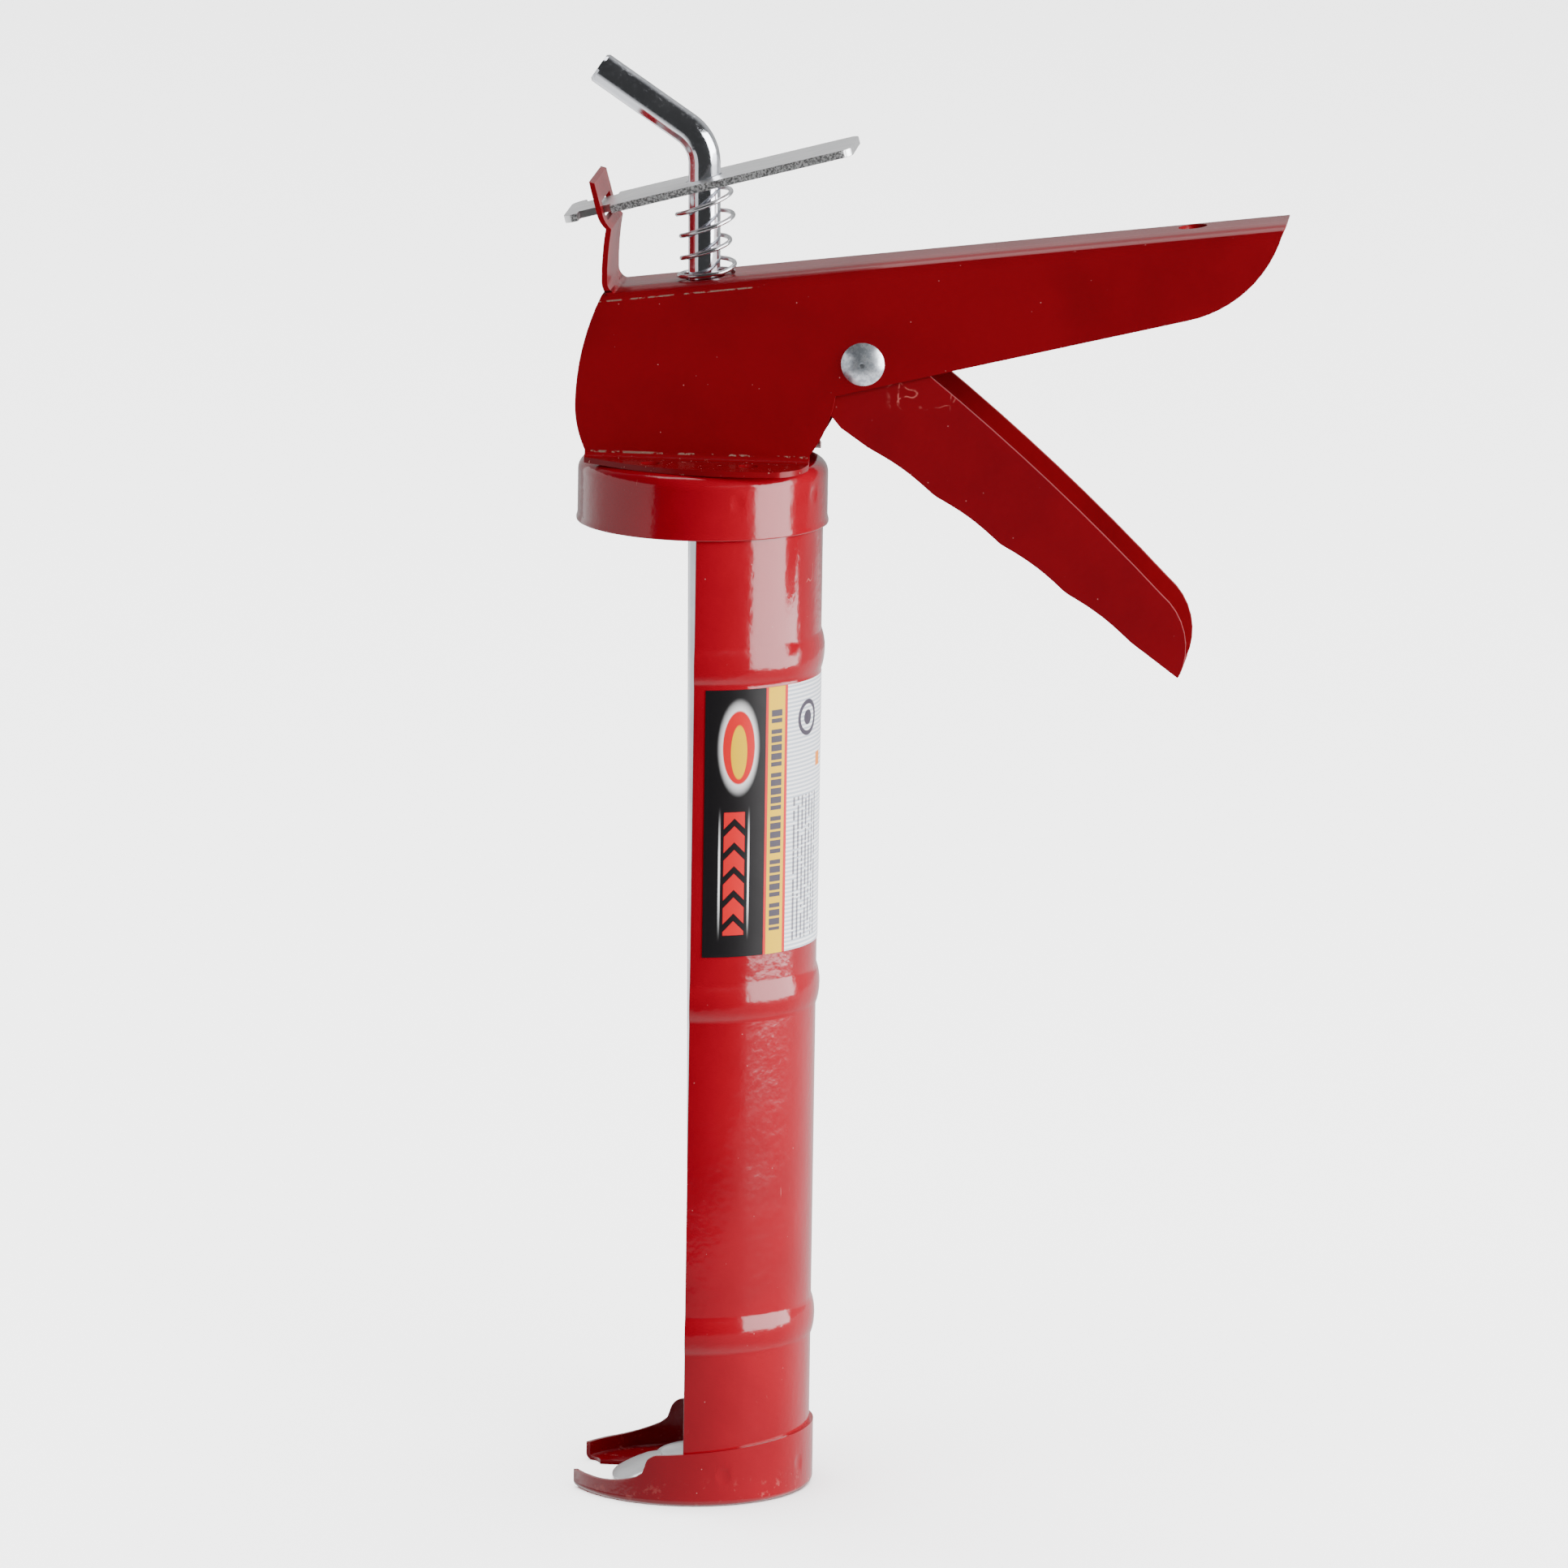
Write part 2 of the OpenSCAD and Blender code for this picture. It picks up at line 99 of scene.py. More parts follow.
class Graph:
    def __init__(self, name):
        self.material = bpy.data.materials.new(name)
        self.material.use_nodes = True
        self.tree = self.material.node_tree
        self.shader = self.tree.nodes["Principled BSDF"]
        self.place = self.node("ShaderNodeTexCoord").outputs["Object"]

    def node(self, kind, settings=None, inputs=None):
        made = self.tree.nodes.new(kind)
        for key, value in (settings or {}).items():
            setattr(made, key, value)
        for key, value in (inputs or {}).items():
            self.feed(made.inputs[key], value)
        return made

    def feed(self, socket, value):
        value = value.value if isinstance(value, Sock) else value
        if isinstance(value, bpy.types.NodeSocket):
            self.tree.links.new(value, socket)
        else:
            socket.default_value = value

    def math(self, operation, *values):
        made = self.node("ShaderNodeMath", {"operation": operation}, dict(enumerate(values)))
        return Sock(self, made.outputs[0])

    def axes(self):
        split = self.node("ShaderNodeSeparateXYZ", inputs={0: self.place})
        return [Sock(self, out) for out in split.outputs]

    def stretched(self, scale):
        made = self.node("ShaderNodeMapping", inputs={"Vector": self.place, "Scale": scale})
        return made.outputs["Vector"]

    def noise(self, grain, detail=3.0, rough=0.5, vector=None):
        inputs = {"Vector": vector or self.place, "Scale": 1 / grain, "Detail": detail, "Roughness": rough}
        return Sock(self, self.node("ShaderNodeTexNoise", inputs=inputs).outputs["Fac"])

    def cells(self, grain):
        inputs = {"Vector": self.place, "Scale": 1 / grain}
        return Sock(self, self.node("ShaderNodeTexVoronoi", inputs=inputs).outputs["Distance"])

    def mix(self, share, first, second):
        made = self.node("ShaderNodeMix", {"data_type": "RGBA"})
        self.feed(made.inputs[0], share)
        self.feed(made.inputs[6], (*first, 1) if isinstance(first, tuple) else first)
        self.feed(made.inputs[7], (*second, 1) if isinstance(second, tuple) else second)
        return made.outputs[2]

    def bump(self, height, distance, strength=1.0, normal=None):
        inputs = {"Height": height, "Distance": distance, "Strength": strength}
        if normal:
            inputs["Normal"] = normal
        return self.node("ShaderNodeBump", inputs=inputs).outputs["Normal"]

    def finish(self, **inputs):
        for key, value in inputs.items():
            socket = self.shader.inputs[key.replace("_", " ")]
            self.feed(socket, (*value, 1) if isinstance(value, tuple) else value)
        return self.material


# In the looks below a ramp is (value for 0, value for 1) and a band is (middle, half width, soft edge).
paintLook = {
    "cloudGrain": 22 * mm, "cloudRamp": (0.35, 0.75), "cloudRough": 0.1,
    "speckGrain": 2.6 * mm, "speckRamp": (0.06, 0.03), "speckPatch": 9 * mm, "patchRamp": (0.5, 0.58),
    "speckShare": 0.5, "speck": (0.75, 0.32, 0.3),
    "scratch": (0.7, 0.2, 0.17), "scratchShare": 0.4, "scratchRough": 0.2,
    "bareAndHighlight": (0.62, 0.42, 0.33), "bareMetallic": 0.85, "bareRough": 0.15,
    "dentGrain": 13 * mm, "peelGrain": 1.6 * mm, "peelDepth": 0.055 * mm, "peelStrength": 0.8,
    "coatRough": 0.06,
}
framePaintLook = {
    "red": (0.195, 0.0042, 0.0085), "dark": (0.16, 0.0034, 0.007),
    "rough": 0.2, "coat": 0.0, "shine": 0.18, "dents": 0.1 * mm,
}
triggerPaintLook = {**framePaintLook, "rough": 0.3, "shine": 0.2}
barrelPaintLook = {
    "red": (0.32, 0.0015, 0.011), "dark": (0.27, 0.0012, 0.009),
    "rough": 0.1, "coat": 0.25, "shine": 0.4, "dents": 0.18 * mm,
}


def paint(name, look, wearAndHighlightMask=None, scratchMask=None, crown=None):
    base = paintLook
    g = Graph(name)
    cloud = g.noise(base["cloudGrain"], 4.0)
    colour = g.mix(cloud.ramp(*base["cloudRamp"]), look["red"], look["dark"])
    specks = g.cells(base["speckGrain"]).ramp(*base["speckRamp"])
    specks = specks * g.noise(base["speckPatch"]).ramp(*base["patchRamp"])
    colour = g.mix(specks * base["speckShare"], colour, base["speck"])
    roughness = cloud * base["cloudRough"] + look["rough"]
    metal = 0.0
    if scratchMask:
        scratch = scratchMask(g)
        colour = g.mix(scratch * base["scratchShare"], colour, base["scratch"])
        roughness = roughness + scratch * base["scratchRough"]
    # Bare peach metal: worn paint, and on the frame's near folds also a painted highlight.
    if wearAndHighlightMask:
        wearAndHighlight = wearAndHighlightMask(g)
        colour = g.mix(wearAndHighlight, colour, base["bareAndHighlight"])
        metal = wearAndHighlight * base["bareMetallic"]
        roughness = roughness + wearAndHighlight * base["bareRough"]
    normal = g.bump(g.noise(base["dentGrain"], 2.0), look["dents"])
    if crown:
        normal = g.bump(crown(g), 1.0, normal=normal)
    peel = g.noise(base["peelGrain"], 2.0)
    normal = g.bump(peel, base["peelDepth"], base["peelStrength"], normal)
    return g.finish(Base_Color=colour, Roughness=roughness, Metallic=metal, Normal=normal,
                    Specular_IOR_Level=look["shine"], Coat_Weight=look["coat"],
                    Coat_Roughness=base["coatRough"], Coat_Normal=normal)


frameMarks = {
    "webSlope": tan(radians(7.15)), "webHeight": 264.8 * mm,
    "crownRamp": (-0.8 * mm, -0.3 * mm), "crownFrom": 1 * mm, "crownTo": 12.6 * mm, "crownBend": -28.0,
    # fold and foot place the peach line on the near folds, partly wear and partly a painted highlight.
    "foldDepth": (1.35 * mm, 0.05 * mm, 0.13 * mm), "foldRun": (-6 * mm, 15 * mm, 4 * mm),
    "foldSide": (-11.5 * mm, -12 * mm),
    "footHeight": (228.45 * mm, 0.08 * mm, 0.2 * mm), "footSide": (-12.2 * mm, -12.6 * mm),
    "footRun": (-6 * mm, -12 * mm), "footGrain": 2 * mm, "footRamp": (0.52, 0.58), "footShare": 0.8,
    "chipGrain": 1.3 * mm, "chipRamp": (0.42, 0.56),
    "flangeHeight": (228 * mm, 227 * mm), "flangeGrain": 0.9 * mm, "flangeRamp": (0.68, 0.74),
    "flangeShare": 0.6,
}


def belowWeb(x, z):
    return x * frameMarks["webSlope"] + frameMarks["webHeight"] - z


# The web is bent round towards its two folds.
def webCrown(g):
    marks = frameMarks
    x, y, z = g.axes()
    curl = (y.abs().least(marks["crownTo"]) - marks["crownFrom"]).most(0.0)
    return curl * curl * belowWeb(x, z).ramp(*marks["crownRamp"]) * marks["crownBend"]


# Random bare chips on the flange are wear. The peach line along the near web fold and the flange fold is
# partly wear and partly a painted highlight of the rounded folds.
def frameWearAndFoldHighlight(g):
    marks = frameMarks
    x, y, z = g.axes()
    chips = g.noise(marks["chipGrain"], 4.0).ramp(*marks["chipRamp"])
    fold = belowWeb(x, z).near(*marks["foldDepth"]) * x.near(*marks["foldRun"])
    fold = fold * y.ramp(*marks["foldSide"])
    foot = z.near(*marks["footHeight"]) * y.ramp(*marks["footSide"])
    patches = g.noise(marks["footGrain"], 3.0).ramp(*marks["footRamp"]) * marks["footShare"]
    foot = foot * (x.ramp(*marks["footRun"]) + patches).least(1.0)
    flange = g.noise(marks["flangeGrain"], 3.0).ramp(*marks["flangeRamp"]) * marks["flangeShare"]
    return (fold.most(foot) * chips).most(flange * z.ramp(*marks["flangeHeight"]))


triggerMarks = {
    "run": (48 * mm, 6 * mm, 2 * mm), "height": (243.5 * mm, 2.5 * mm, 2 * mm),
    "side": (-10.9 * mm, -11 * mm),
    "acrossGrain": 11 * mm, "acrossBand": (0.5, 0.004, 0.008),
    "alongGrain": 13 * mm, "alongBand": (0.45, 0.004, 0.007), "alongScale": (1.7, 1, 0.6),
    "breakGrain": 1.6 * mm, "breakRamp": (0.4, 0.55),
}


def triggerScratch(g):
    marks = triggerMarks
    x, y, z = g.axes()
    zone = x.near(*marks["run"]) * z.near(*marks["height"]) * y.ramp(*marks["side"])
    across = g.noise(marks["acrossGrain"], 2.0, 0.6).near(*marks["acrossBand"])
    along = g.noise(marks["alongGrain"], 1.0, 0.6, g.stretched(marks["alongScale"]))
    lines = across.most(along.near(*marks["alongBand"]))
    return zone * lines * g.noise(marks["breakGrain"]).ramp(*marks["breakRamp"])


barrelMarks = {
    "lineGrain": 6 * mm, "lineScale": (1, 1, 0.4), "lineBand": (0.5, 0.004, 0.008),
    "breakGrain": 11 * mm, "breakRamp": (0.66, 0.7), "lineShare": 0.8,
    "scuffHeight": (7 * mm, 2 * mm), "scuffGrain": 3 * mm, "scuffRamp": (0.56, 0.66), "scuffShare": 0.6,
}


def barrelScratch(g):
    marks = barrelMarks
    z = g.axes()[2]
    lines = g.noise(marks["lineGrain"], 2.0, 0.5, g.stretched(marks["lineScale"])).near(*marks["lineBand"])
    lines = lines * g.noise(marks["breakGrain"]).ramp(*marks["breakRamp"]) * marks["lineShare"]
    scuff = g.noise(marks["scuffGrain"], 5.0, 0.7).ramp(*marks["scuffRamp"]) * marks["scuffShare"]
    return lines.most(scuff * z.ramp(*marks["scuffHeight"]))


metalBase = {
    "cloudGrain": 5 * mm, "cloudRamp": (0.3, 0.7), "cloudShade": 0.78, "cloudRough": 0.14,
    "grain": 0.5 * mm, "depth": 0.02 * mm, "strength": 0.6, "grainRough": 0.08, "metallic": 1.0,
}
metalLooks = {
    "dull_zinc": {"colour": (0.6, 0.61, 0.63), "rough": 0.26},
    "piston_zinc": {"colour": (0.93, 0.94, 0.96), "rough": 0.26, "metallic": 0.85},
    "drive_plate_steel": {"colour": (0.45, 0.45, 0.46), "rough": 0.32},
    "spring_steel": {"colour": (0.68, 0.69, 0.71), "rough": 0.14, "grain": 0.3 * mm, "depth": 0.005 * mm},
}


def plainMetal(name, look):
    look = {**metalBase, **look}
    g = Graph(name)
    cloud = g.noise(look["cloudGrain"], 4.0)
    grain = g.noise(look["grain"], 3.0)
    shaded = tuple(look["cloudShade"] * c for c in look["colour"])
    colour = g.mix(cloud.ramp(*look["cloudRamp"]), look["colour"], shaded)
    roughness = cloud * look["cloudRough"] + grain * look["grainRough"] + look["rough"]
    return g.finish(Base_Color=colour, Roughness=roughness, Metallic=look["metallic"],
                    Normal=g.bump(grain, look["depth"], look["strength"]))


rivetLook = {
    "x": 35.2 * mm, "z": 249 * mm, "dimpleRamp": (0.75 * mm, 0.35 * mm), "dimplePaintedShade": 0.6,
    "mottleGrain": 1.1 * mm, "mottleRamp": (0.35, 0.65), "bright": (0.82, 0.86, 0.92),
    "grey": (0.46, 0.5, 0.56), "pitGrain": 0.5 * mm, "pitRamp": (0.12, 0.05), "pitPatch": (0.5, 0.6),
    "pitAndDimpleShade": (0.1, 0.1, 0.11), "metallic": 0.84, "rough": 0.2, "mottleRough": 0.22,
    "mottleHeight": 0.5, "dimpleHeight": 2.0, "depth": 0.08 * mm, "strength": 0.7,
}


def rivetMetal(look):
    g = Graph("rivet_zinc")
    x, y, z = g.axes()
    across = x - look["x"]
    up = z - look["z"]
    dimple = (across * across + up * up).root().ramp(*look["dimpleRamp"])
    mottle = g.noise(look["mottleGrain"], 4.0, 0.65)
    pits = g.cells(look["pitGrain"]).ramp(*look["pitRamp"]) * mottle.ramp(*look["pitPatch"])
    colour = g.mix(mottle.ramp(*look["mottleRamp"]), look["bright"], look["grey"])
    # Dark pits, and painted shade darkening the recessed centre dimple.
    colour = g.mix((pits + dimple * look["dimplePaintedShade"]).least(1.0), colour, look["pitAndDimpleShade"])
    height = mottle * look["mottleHeight"] - dimple * look["dimpleHeight"] - pits
    return g.finish(Base_Color=colour, Metallic=look["metallic"],
                    Roughness=mottle * look["mottleRough"] + look["rough"],
                    Normal=g.bump(height, look["depth"], look["strength"]))


plateLook = {
    "edgeRamp": (9.75 * mm, 9.9 * mm), "gritGrain": 0.45 * mm, "gritRamp": (0.4, 0.6),
    "gritShare": 0.6, "edgeShare": 0.4, "edge": (0.16, 0.16, 0.16),
    "sheenGrain": 2.5 * mm, "sheenScale": (0.3, 1, 1), "sheenRamp": (0.3, 0.7),
    "bright": (0.9, 0.9, 0.91), "grey": (0.78, 0.79, 0.8),
    "rough": 0.3, "edgeRough": 0.2, "sheenRough": 0.1, "gritHeight": 3.0, "sheenHeight": 0.3,
    "depth": 0.06 * mm,
}


def plateMetal(look):
    g = Graph("release_plate_zinc")
    y = g.axes()[1]
    edge = y.abs().ramp(*look["edgeRamp"])
    grit = g.noise(look["gritGrain"], 4.0, 0.7)
    sheen = g.noise(look["sheenGrain"], 3.0, vector=g.stretched(look["sheenScale"]))
    colour = g.mix(sheen.ramp(*look["sheenRamp"]), look["bright"], look["grey"])
    dark = edge * (grit.ramp(*look["gritRamp"]) * look["gritShare"] + look["edgeShare"])
    colour = g.mix(dark, colour, look["edge"])
    height = edge * grit * look["gritHeight"] + sheen * look["sheenHeight"]
    roughness = edge * look["edgeRough"] + sheen * look["sheenRough"] + look["rough"]
    return g.finish(Base_Color=colour, Metallic=1.0, Roughness=roughness,
                    Normal=g.bump(height, look["depth"]))


rodLook = {
    "streakGrain": 2 * mm, "streakScale": (1, 1, 0.04), "streakRough": 0.08,
    "cloudGrain": 7 * mm, "cloudRamp": (0.35, 0.7), "bright": (0.8, 0.82, 0.87), "grey": (0.66, 0.68, 0.73),
    "scuffGrain": 0.8 * mm, "scuffRamp": (0.52, 0.66), "scuffRough": 0.12, "rough": 0.07,
    "depth": 0.008 * mm, "strength": 0.5,
}


def rodChrome(look):
    g = Graph("rod_chrome")
    streaks = g.noise(look["streakGrain"], 3.0, vector=g.stretched(look["streakScale"]))
    cloud = g.noise(look["cloudGrain"], 3.0)
    colour = g.mix(cloud.ramp(*look["cloudRamp"]), look["bright"], look["grey"])
    scuffs = g.noise(look["scuffGrain"], 4.0, 0.7).ramp(*look["scuffRamp"])
    roughness = streaks * look["streakRough"] + scuffs * look["scuffRough"] + look["rough"]
    return g.finish(Base_Color=colour, Metallic=1.0, Roughness=roughness,
                    Normal=g.bump(streaks, look["depth"], look["strength"]))


# Runs are degrees round the barrel from the label's left edge, heights are z.
labelLook = {
    "radius": 26.15 * mm, "startAngle": -82.0,
    "black": (0.008, 0.007, 0.008), "yellow": (0.8, 0.48, 0.0), "red": (0.62, 0.01, 0.015),
    "silver": (0.52, 0.56, 0.64), "pale": (0.95, 0.95, 0.96), "ink": (0.06, 0.05, 0.07),
    "orange": (0.85, 0.25, 0.01),
    "lineStep": 0.9 * mm, "lineBand": (0.5, 0.2, 0.1),
    "rowStart": 48.0, "rowStep": 3.4, "rowBand": (0.5, 0.17, 0.08), "rowRun": (60.0, 11.0, 0.2),
    "rowShift": 31 * mm, "wordGrain": 1.5 * mm, "wordRamp": (0.4, 0.44),
    "wordHeight": (139 * mm, 15.5 * mm, 0.3 * mm), "wordShare": 0.8,
    "ring": {"run": 60.5, "height": 171.5 * mm, "across": 3.6 * mm, "along": 3.6 * mm},
    "ringBand": (0.95, 0.12, 0.05), "ringDot": (0.5, 0.42),
    "tileRun": (74.0, 3.0, 0.3), "tileHeight": (161.5 * mm, 1.4 * mm, 0.2 * mm),
    "stripeSoft": 0.2, "goldStripes": ((44.2, "red"), (42.4, "yellow")),
    "blackStripes": ((32.4, "red"), (31.0, "black")),
    "dashGroup": 9.5 * mm, "groupBand": (0.5, 0.42, 0.01), "dash": 1.9 * mm, "dashBand": (0.5, 0.34, 0.08),
    "dashRun": (37.3, 3.1, 0.3), "dashHeight": (150.5 * mm, 24 * mm, 0.3 * mm),
    "arrowRun": (15.2, 5.0, 0.3), "arrowHeight": (139.5 * mm, 13.4 * mm, 0.1 * mm),
    "arrowPoint": 0.45 * mm, "arrowStep": 5.2 * mm, "arrowBand": (0.5, 0.33, 0.02),
    "leftRail": (8.0, 0.35, 0.25), "rightRail": (22.4, 0.35, 0.25),
    "railHeight": (139.5 * mm, 2 * mm, 13 * mm),
    "oval": {"run": 17.0, "height": 167 * mm, "across": 4.2 * mm, "along": 9.2 * mm},
    "ovalGlow": (1.2, 0.85), "glowShare": 0.8, "ovalFill": (0.9, 0.84),
    "core": {"run": 17.0, "height": 166 * mm, "across": 1.9 * mm, "along": 6.0 * mm},
    "coreFill": (1.02, 0.92),
    "waveGrain": 7 * mm, "waveDepth": 0.05 * mm, "waveRough": 0.1, "rough": 0.34, "shine": 0.18,
}


def printedLines(g, run, z):
    look = labelLook
    row = (run - look["rowStart"]) / look["rowStep"]
    rows = row.math("FRACT").near(*look["rowBand"]) * run.near(*look["rowRun"])
    places = {"X": z, "Y": row.math("FLOOR") * look["rowShift"]}
    spread = g.node("ShaderNodeCombineXYZ", inputs=places).outputs[0]
    words = g.noise(look["wordGrain"], 1.0, 0.6, spread).ramp(*look["wordRamp"])
    return rows * words * z.near(*look["wordHeight"]) * look["wordShare"]


# 1 on the outline of an oval, 0 at its centre
def ovalReach(run, z, shape):
    side = (run - shape["run"]) * (labelLook["radius"] * radians(1) / shape["across"])
    up = (z - shape["height"]) / shape["along"]
    return (side * side + up * up).root()


def stripes(g, colour, run, edges):
    for edge, shade in edges:
        colour = g.mix(run.ramp(edge, edge - labelLook["stripeSoft"]), colour, labelLook[shade])
    return colour


def labelFilm():
    look = labelLook
    g = Graph("label_film")
    x, y, z = g.axes()
    run = g.math("ARCTAN2", y, x) * (180 / pi) - look["startAngle"]
    colour = g.mix(z.repeat(look["lineStep"]).near(*look["lineBand"]), look["silver"], look["pale"])
    colour = g.mix(printedLines(g, run, z), colour, look["ink"])
    ring = ovalReach(run, z, look["ring"])
    colour = g.mix(ring.near(*look["ringBand"]), colour, look["ink"])
    colour = g.mix(ring.ramp(*look["ringDot"]), colour, look["ink"])
    colour = g.mix(run.near(*look["tileRun"]) * z.near(*look["tileHeight"]), colour, look["orange"])
    colour = stripes(g, colour, run, look["goldStripes"])
    dashes = z.repeat(look["dashGroup"]).near(*look["groupBand"]) * z.near(*look["dashHeight"])
    dashes = dashes * z.repeat(look["dash"]).near(*look["dashBand"]) * run.near(*look["dashRun"])
    colour = g.mix(dashes, colour, look["ink"])
    colour = stripes(g, colour, run, look["blackStripes"])
    point = (run - look["arrowRun"][0]).abs() * look["arrowPoint"]
    arrows = (z + point).repeat(look["arrowStep"]).near(*look["arrowBand"])
    arrows = arrows * z.near(*look["arrowHeight"]) * run.near(*look["arrowRun"])
    colour = g.mix(arrows, colour, look["red"])
    rails = run.near(*look["leftRail"]) + run.near(*look["rightRail"])
    colour = g.mix(rails * z.near(*look["railHeight"]), colour, look["pale"])
    oval = ovalReach(run, z, look["oval"])
    colour = g.mix(oval.ramp(*look["ovalGlow"]) * look["glowShare"], colour, look["pale"])
    colour = g.mix(oval.ramp(*look["ovalFill"]), colour, look["red"])
    core = ovalReach(run, z, look["core"])
    colour = g.mix(core.ramp(*look["coreFill"]), colour, look["yellow"])
    wave = g.noise(look["waveGrain"], 2.0)
    return g.finish(Base_Color=colour, Roughness=wave * look["waveRough"] + look["rough"], Metallic=0.0,
                    Specular_IOR_Level=look["shine"], Normal=g.bump(wave, look["waveDepth"]))


framePaint = paint("frame_paint", framePaintLook, frameWearAndFoldHighlight, crown=webCrown)
triggerPaint = paint("trigger_paint", triggerPaintLook, scratchMask=triggerScratch)
barrelPaint = paint("barrel_paint", barrelPaintLook, scratchMask=barrelScratch)
metals = {name: plainMetal(name, look) for name, look in metalLooks.items()}
print("materials made")


def addMesh(name, data, material, body, replaced):
    obj = bpy.data.objects.new(name, data)
    bpy.context.scene.collection.objects.link(obj)
    data.materials.clear()
    data.materials.append(material)
    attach(obj, body)
    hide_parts(replaced)
    return obj


def evaluatedCopy(holder):
    shown = holder.evaluated_get(bpy.context.evaluated_depsgraph_get())
    made = bpy.data.meshes.new_from_object(shown)
    bpy.data.objects.remove(holder)
    return made


def newHolder(name, data):
    holder = bpy.data.objects.new(name, data)
    bpy.context.scene.collection.objects.link(holder)
    return holder


bevelLook = {
    "join": 0.002 * mm, "flat": radians(0.4), "sharpFrom": radians(32), "segments": 2, "profile": 0.5,
    "creaseFrom": radians(40), "weight": 80,
    "frameWidth": 0.22 * mm, "barrelWidth": 0.2 * mm, "plateWidth": 0.25 * mm,
}


def weightedNormals(data):
    holder = newHolder(data.name + "_holder", data)
    modifier = holder.modifiers.new("weighted", "WEIGHTED_NORMAL")
    modifier.weight = bevelLook["weight"]
    modifier.keep_sharp = True
    return evaluatedCopy(holder)


def softEdges(node, body, material, width):
    look = bevelLook
    data = nodes[node].data.copy()
    data.name = node + "_soft"
    bm = bmesh.new()
    bm.from_mesh(data)
    bmesh.ops.remove_doubles(bm, verts=bm.verts, dist=look["join"])
    bmesh.ops.dissolve_limit(bm, angle_limit=look["flat"], verts=bm.verts, edges=bm.edges)
    sharp = [e for e in bm.edges if len(e.link_faces) == 2 and e.calc_face_angle() > look["sharpFrom"]]
    bmesh.ops.bevel(bm, geom=sharp, offset=width, offset_type="OFFSET", segments=look["segments"],
                    profile=look["profile"], affect="EDGES", clamp_overlap=True)
    for face in bm.faces:
        face.smooth = True
    bm.to_mesh(data)
    bm.free()
    data.set_sharp_from_angle(angle=look["creaseFrom"])
    addMesh(node + "_soft", weightedNormals(data), material, body, node)


softEdges("frame", "gun_body", framePaint, bevelLook["frameWidth"])
softEdges("trigger", "trigger", triggerPaint, bevelLook["frameWidth"])
softEdges("back_cap", "gun_body", barrelPaint, bevelLook["barrelWidth"])
softEdges("cradle", "gun_body", barrelPaint, bevelLook["barrelWidth"])
softEdges("front_cap", "gun_body", barrelPaint, bevelLook["barrelWidth"])
softEdges("release_plate", "release_plate", plateMetal(plateLook), bevelLook["plateWidth"])
for node, material in {
    "label": labelFilm(),
    "plunger_rod": rodChrome(rodLook),
    "piston_back_washer": metals["piston_zinc"],
    "piston_front_washer": metals["dull_zinc"],
    "drive_plate_upper": metals["drive_plate_steel"],
    "drive_plate_lower": metals["drive_plate_steel"],
    "trigger_rivet": rivetMetal(rivetLook),
}.items():
    data = nodes[node].data
    data.materials.clear()
    data.materials.append(material)
print("sheet metal softened")


piston = {
    "inner": 4.5 * mm, "flatTo": 8.0 * mm, "outer": 19.6 * mm, "thick": 1.2 * mm, "thinner": 0.35,
    "level": 3.6 * mm, "rimDrop": -1.53 * mm, "wave": 1.15 * mm, "tip": 0.35 * mm, "bend": 1.2,
    "crease": 0.75 * mm, "creaseSharp": 130, "notch": 0.05, "notchSharp": 8, "edge": 0.25 * mm,
    "turned": radians(176), "lean": radians(0.7), "leanAt": 240 * mm,
    "rings": 14, "steps": 240, "sharpFrom": radians(50),
}


def outward(look, share):
    flat = look["flatTo"] / look["outer"]
    return max(0.0, share - flat) / (1 - flat)


def lobeHeight(look, share, a):
    swing = cos(2 * (a - look["turned"]))
    wave = look["wave"] * swing * (1.5 - 0.5 * swing * swing)
    crease = look["crease"] * abs(sin(2 * (a - look["turned"]))) ** look["creaseSharp"]
    return outward(look, share) ** look["bend"] * (look["rimDrop"] - wave + look["tip"] * cos(a) - crease)


def lobeReach(look, share, a):
    notch = look["notch"] * abs(sin(2 * (a - look["turned"]))) ** look["notchSharp"]
    return look["outer"] * share * (1 - notch * share ** 3)


def pistonPoint(look, share, a, edge, top):
    r = lobeReach(look, share, a)
    thick = look["thick"] * (1 - look["thinner"] * outward(look, share))
    h = look["level"] + lobeHeight(look, share, a) + (thick - edge if top else edge)
    x = r * cos(a) + (look["leanAt"] - h) * tan(look["lean"])
    return (x, r * sin(a), h + r * cos(a) * sin(look["lean"]))


def pistonDisc(look):
    first = look["inner"] / look["outer"]
    last = look["rings"]
    count = look["steps"]
    bm = bmesh.new()
    layers = []
    for top in (False, True):
        layer = []
        for i in range(last + 1):
            share = first + (1 - first) * i / last
            edge = look["edge"] if i in (0, last) else 0.0
            angles = [2 * pi * k / count for k in range(count)]
            layer.append([bm.verts.new(pistonPoint(look, share, a, edge, top)) for a in angles])
        layers.append(layer)
    low, high = layers
    for k in range(count):
        m = (k + 1) % count
        for i in range(last):
            bm.faces.new((low[i][k], low[i][m], low[i + 1][m], low[i + 1][k]))
            bm.faces.new((high[i][k], high[i + 1][k], high[i + 1][m], high[i][m]))
        for i in (0, last):
            bm.faces.new((low[i][k], low[i][m], high[i][m], high[i][k]))
    bmesh.ops.recalc_face_normals(bm, faces=bm.faces)
    for face in bm.faces:
        face.smooth = True
    data = bpy.data.meshes.new("piston_pressing")
    bm.to_mesh(data)
    bm.free()
    data.set_sharp_from_angle(angle=look["sharpFrom"])
    addMesh("piston_pressing", data, metals["piston_zinc"], "piston", "piston_disc")


pistonDisc(piston)
print("piston made")


